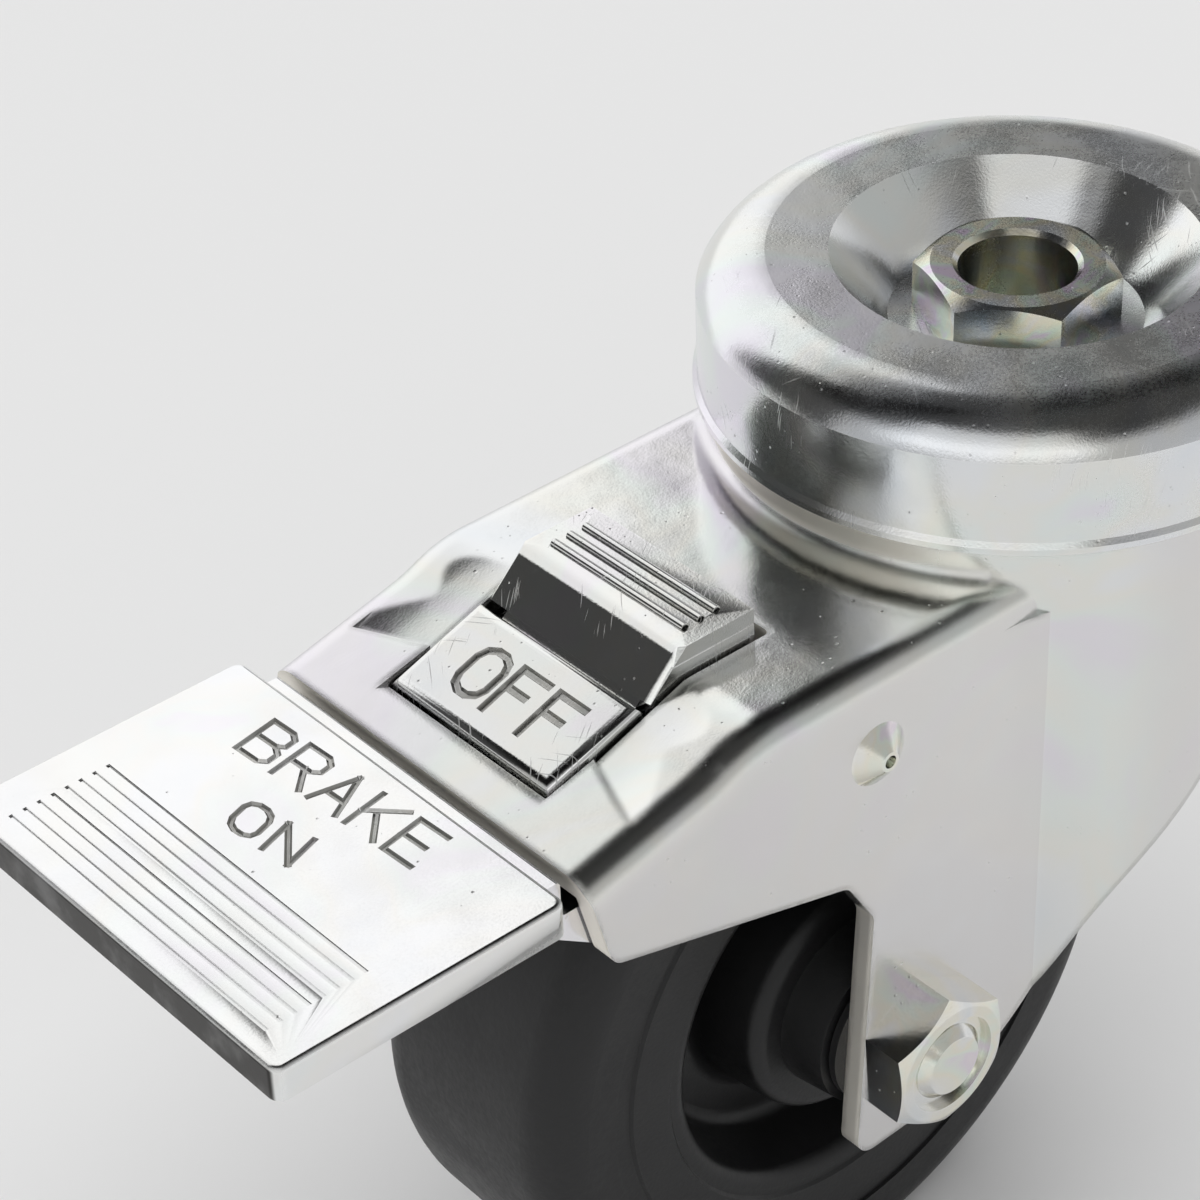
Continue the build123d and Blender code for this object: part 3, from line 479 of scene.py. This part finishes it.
# %% Letters as strokes
LETTERS = {
    "A": [[(0, 0), (0.38, 1)], [(0.38, 1), (0.76, 0)], [(0.14, 0.34), (0.62, 0.34)]],
    "B": [[(0, 0.52), (0, 1), (0.56, 1), (0.73, 0.88), (0.73, 0.64), (0.56, 0.52), (0, 0.52), (0, 0),
           (0.58, 0), (0.76, 0.13), (0.76, 0.39), (0.56, 0.52)]],
    "E": [[(0.74, 0), (0, 0), (0, 1), (0.74, 1)], [(0, 0.52), (0.6, 0.52)]],
    "F": [[(0, 0), (0, 1), (0.68, 1)], [(0, 0.56), (0.5, 0.56)]],
    "K": [[(0, 0), (0, 1)], [(0.74, 1), (0, 0.42)], [(0.24, 0.61), (0.76, 0)]],
    "N": [[(0, 0), (0, 1)], [(0, 1), (0.74, 0)], [(0.74, 0), (0.74, 1)]],
    "O": [[(0.26, 0), (0.48, 0), (0.66, 0.1), (0.74, 0.28), (0.74, 0.72), (0.66, 0.9), (0.48, 1), (0.26, 1),
           (0.08, 0.9), (0, 0.72), (0, 0.28), (0.08, 0.1), (0.26, 0)]],
    "R": [[(0, 0), (0, 1), (0.56, 1), (0.74, 0.87), (0.74, 0.61), (0.56, 0.48), (0, 0.48)],
          [(0.4, 0.48), (0.76, 0)]],
}


def groove(shape, spots, out, top_half, low_half, depth):
    """One line's cutter: a strip with sloping sides, mitred where the line turns."""
    rise = 0.4 * depth
    wide = top_half + (top_half - low_half) * rise / depth
    ways = [(b - a).normalized() for a, b in zip(spots, spots[1:])]
    closed = (spots[0] - spots[-1]).length < 1e-7
    rings = []
    for number, spot in enumerate(spots):
        first = not closed and number == 0
        last = not closed and number == len(spots) - 1
        before = ways[0] if first else ways[number - 1]
        after = ways[-1] if last else ways[number % len(ways)]
        one, two = out.cross(before), out.cross(after)
        mitre = (one + two) / (1.0 + one.dot(two))
        onward = (after if last else -before) if first or last else Vector()
        ring = []
        for half, level in ((low_half, -depth), (wide, rise)):
            centre = spot + onward * half + out * level
            ring += [centre - mitre * half, centre + mitre * half]
        rings.append([shape.verts.new(ring[n]) for n in (0, 1, 3, 2)])
    if closed:
        rings[-1] = rings[0]
    else:
        shape.faces.new(rings[0])
        shape.faces.new(reversed(rings[-1]))
    for a, b in zip(rings, rings[1:]):
        for n in range(4):
            shape.faces.new((a[n], a[n - 1], b[n - 1], b[n]))


def punch(shape, word, corner, right, up, pitch, stroke):
    """All lines of a word. Corner is the first letter's foot, right and up are one letter height long."""
    out = right.cross(up).normalized()
    count = 0
    for number, letter in enumerate(word):
        for line in LETTERS[letter]:
            spots = [corner + right * (x + number * pitch) + up * y for x, y in line]
            groove(shape, spots, out, *stroke)
            count += 1
    return count


print("letters drawn:", "".join(sorted(LETTERS)))

# %% [markdown]
# Now the stamping. The CAD mesh may not be changed, so a copy of it is cut and stands in for the node.
# The copy's loose seams are merged first, because a Boolean needs a closed shape.
# Afterwards corners are marked sharp by their angle, and a Weighted Normal modifier lets the large faces
# decide how their borders are shaded. Without it, the big flat tread would look crumpled round each letter.


# %% Stamp a copy of a node
SEAM = 1e-6
SHARP_ANGLE = radians(24.0)


def baked(piece):
    """The piece's mesh with its modifiers worked in."""
    bpy.context.view_layer.update()
    ready = piece.evaluated_get(bpy.context.evaluated_depsgraph_get())
    mesh = bpy.data.meshes.new_from_object(ready)
    piece.modifiers.clear()
    return mesh


def stamped(node_name, body, material, shape):
    """Cut the strips out of a copy of a node, and let the copy replace it."""
    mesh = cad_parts[node_name].data.copy()
    mesh.materials.clear()
    mesh.materials.append(material)
    solid = bmesh.new()
    solid.from_mesh(mesh)
    bmesh.ops.remove_doubles(solid, verts=solid.verts, dist=SEAM)
    solid.to_mesh(mesh)
    solid.free()
    piece = bpy.data.objects.new(node_name + "_stamped", mesh)
    bpy.context.collection.objects.link(piece)
    bmesh.ops.recalc_face_normals(shape, faces=shape.faces)
    cut_mesh = bpy.data.meshes.new("punch")
    shape.to_mesh(cut_mesh)
    shape.free()
    # the strips' faces carry the painted groove shade
    cut_mesh.materials.append(zinc_groove_shade)
    cutter = bpy.data.objects.new("punch", cut_mesh)
    bpy.context.collection.objects.link(cutter)
    cut = piece.modifiers.new("stamp", "BOOLEAN")
    cut.operation = "DIFFERENCE"
    cut.solver = "EXACT"
    cut.use_self = True
    cut.material_mode = "TRANSFER"
    cut.object = cutter
    piece.data = baked(piece)
    bpy.data.objects.remove(cutter)
    piece.data.shade_smooth()
    piece.data.set_sharp_from_angle(angle=SHARP_ANGLE)
    for face in piece.data.polygons:
        face.use_smooth = face.material_index == 0
    even = piece.modifiers.new("even", "WEIGHTED_NORMAL")
    even.weight = 100
    even.keep_sharp = True
    piece.data = baked(piece)
    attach(piece, body)
    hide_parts(node_name)
    return piece


PEDAL_Z = -19.5
PEDAL_STROKE = (0.33 * MM, 0.13 * MM, 0.26 * MM)
words = bmesh.new()
strokes = punch(words, "BRAKE", Vector((-82.85, 12.55, PEDAL_Z)) * MM, Vector((0.22, -4.70, 0)) * MM,
                Vector((4.65, 0.75, 0)) * MM, 1.03, PEDAL_STROKE)
strokes += punch(words, "ON", Vector((-89.75, 4.75, PEDAL_Z)) * MM, Vector((0.35, -4.30, 0)) * MM,
                 Vector((3.55, 1.10, 0)) * MM, 1.10, PEDAL_STROKE)
pedal = stamped("brake_pedal", "lever", zinc_pedal, words)
print("pedal:", strokes, "strokes,", len(pedal.data.polygons), "faces")

# %% [markdown]
# The sign in front of the release tread slopes forwards, so its word lies in a tilted plane:
# the letters' up direction runs from the sign's front edge to its back edge.

# %% Stamp the sign
SIGN_BACK = Vector((-56.45, 0.0, -15.35)) * MM
SIGN_FRONT = Vector((-67.15, 0.0, -19.005)) * MM
SIGN_STROKE = (0.44 * MM, 0.24 * MM, 0.36 * MM)
uphill = (SIGN_BACK - SIGN_FRONT).normalized()
foot = SIGN_FRONT + uphill * 2.6 * MM + Vector((0, 5.75, 0)) * MM
word = bmesh.new()
strokes = punch(word, "OFF", foot, Vector((0, -4.90, 0)) * MM, uphill * 5.10 * MM, 0.98, SIGN_STROKE)
tread = stamped("release_tread", "release", zinc_tread, word)
print("sign:", strokes, "strokes,", len(tread.data.polygons), "faces")

# %% [markdown]
# The floor is a plain pale sheet under the wheel, matt, so that it keeps a soft shadow.

# %% Floor
FLOOR_HALF = 9.0
FLOOR_GREY = (0.80, 0.80, 0.80, 1.0)
floor_mesh = bpy.data.meshes.new("floor")
far = FLOOR_HALF
floor_mesh.from_pydata([(-far, -far, 0), (far, -far, 0), (far, far, 0), (-far, far, 0)], [], [(0, 1, 2, 3)])
floor = bpy.data.objects.new("floor", floor_mesh)
bpy.context.collection.objects.link(floor)
floor.location.z = cad_box[0][2]
floor_paint = bpy.data.materials.new("floor_paint")
floor_paint.use_nodes = True
floor_skin = shader_of(floor_paint)
floor_skin.inputs["Base Color"].default_value = FLOOR_GREY
floor_skin.inputs["Roughness"].default_value = 0.9
floor_skin.inputs["Specular IOR Level"].default_value = 0.1
floor_mesh.materials.append(floor_paint)
print("floor at", round(floor.location.z, 4))

# %% [markdown]
# Bright metal shows its surroundings more than itself, so the studio is drawn with care.
# A pale band runs all round the horizon. Behind the castor stands a tall bright panel with crisp sides,
# another hangs in front on the left, and dark flags beside them give bends and the tread their black.
# The world draws all this by direction, with no image: bearing from X and Y, height from Z.

# %% World
world = bpy.data.worlds.new("studio")
bpy.context.scene.world = world
world.use_nodes = True
tree = world.node_tree
sky = next(n for n in tree.nodes if n.type == "BACKGROUND")
place = put(tree, "ShaderNodeTexCoord")
way = put(tree, "ShaderNodeSeparateXYZ", {0: place.outputs["Generated"]})
flat = put(tree, "ShaderNodeCombineXYZ", {0: way.outputs["X"], 1: way.outputs["Y"]})
level = put(tree, "ShaderNodeVectorMath", {0: flat.outputs[0]}, operation="NORMALIZE")


def panel(centre_deg, half_deg, soft_deg, low, high, fade):
    """A soft-edged panel: a range of bearings and of heights, with no ramp where a height has no end."""
    aim = (cos(radians(centre_deg)), sin(radians(centre_deg)), 0.0)
    along = put(tree, "ShaderNodeVectorMath", {0: level.outputs[0], 1: aim}, operation="DOT_PRODUCT")
    outer = cos(radians(half_deg + soft_deg))
    inner = cos(radians(half_deg - soft_deg))
    bright = ramp(tree, along.outputs["Value"], outer, inner)
    if low > -1.0:
        bright = maths(tree, "MULTIPLY", bright, ramp(tree, way.outputs["Z"], low - fade, low + fade))
    if high < 1.0:
        bright = maths(tree, "MULTIPLY", bright, ramp(tree, way.outputs["Z"], high + fade, high - fade))
    return bright


def less(light, flag, share):
    """Take a share of the light away behind a dark flag."""
    left_over = maths(tree, "SUBTRACT", 1.0, maths(tree, "MULTIPLY", flag, share))
    return maths(tree, "MULTIPLY", light, left_over)


DOWN, UP = -1.5, 1.5
WALL_LIGHT, CEILING_LIGHT = 0.48, 0.045
HORIZON_LIGHT = 0.34
PANEL_LIGHT = 0.9
FRONT_SHARE = 0.7
BRIGHTEST = 1.12
back_panel = panel(81.0, 32.0, 1.8, DOWN, 0.845, 0.03)
front_panel = panel(-145.0, 36.0, 8.0, 0.42, 0.86, 0.05)
tread_flag = panel(138.0, 22.0, 4.0, 0.20, UP, 0.08)
right_flag = panel(20.0, 27.0, 2.0, 0.30, UP, 0.06)
ambient = ramp(tree, way.outputs["Z"], 0.56, 0.78, WALL_LIGHT, CEILING_LIGHT)
ambient = less(less(ambient, tread_flag, 0.88), right_flag, 0.80)
horizon = ramp(tree, way.outputs["Z"], 0.26, 0.06, 0.0, HORIZON_LIGHT)
panels = maths(tree, "ADD", back_panel, maths(tree, "MULTIPLY", front_panel, FRONT_SHARE))
light = maths(tree, "ADD", maths(tree, "ADD", ambient, horizon), maths(tree, "MULTIPLY", panels, PANEL_LIGHT))
tree.links.new(maths(tree, "MINIMUM", light, BRIGHTEST), sky.inputs["Strength"])
sky.inputs["Color"].default_value = (1.0, 1.0, 1.0, 1.0)
print("world: horizon band, two panels, two flags")

# %% [markdown]
# The panels alone leave the floor and the black rubber dim, because most of their light comes in low.
# One very soft lamp from above fills that in. A sun with a wide angle lights the floor evenly
# out to the horizon and leaves only a faint shadow.
# It is hidden from reflections, where the dark ceiling is wanted.

# %% Lamp
LAMP_FROM = Vector((0.10, 0.05, 1.5))
LAMP_POWER = 1.95
LAMP_SPREAD = radians(72.0)
lamp_light = bpy.data.lights.new("overhead_soft", "SUN")
lamp_light.energy = LAMP_POWER
lamp_light.angle = LAMP_SPREAD
overhead = bpy.data.objects.new("overhead_soft", lamp_light)
bpy.context.collection.objects.link(overhead)
overhead.location = LAMP_FROM
overhead.rotation_euler = (-LAMP_FROM).to_track_quat("-Z", "Y").to_euler()
overhead.visible_glossy = False
print("lamp:", overhead.name, lamp_light.energy)

# %% [markdown]
# The camera stands where the photograph was taken from: in front, on the right and above,
# close to the castor and with a long lens, so the sides stay nearly parallel.
# Its place was worked out from edges of the castor whose sizes are known.

# %% Camera
EYE = Vector((-0.21966, -0.20324, 0.17860))
LOOK = Vector((0.5155, 0.6242, -0.5871)).normalized()
BEARING = radians(-39.553)
ROLL = radians(-2.174)
LENS_MM = 111.41
right = Vector((cos(BEARING), sin(BEARING), 0.0))
up = right.cross(LOOK)
side = right * cos(ROLL) + up * sin(ROLL)
top = up * cos(ROLL) - right * sin(ROLL)
turn = Matrix((side, top, -LOOK)).transposed().to_4x4()
camera_data = bpy.data.cameras.new("photo_camera")
camera_data.sensor_width = 36.0
camera_data.lens = LENS_MM
camera_data.clip_start = 0.01
camera = bpy.data.objects.new("photo_camera", camera_data)
bpy.context.collection.objects.link(camera)
camera.matrix_world = Matrix.Translation(EYE) @ turn
bpy.context.scene.camera = camera
bpy.context.scene.view_settings.view_transform = "Standard"
print("camera at", tuple(round(v, 3) for v in EYE))
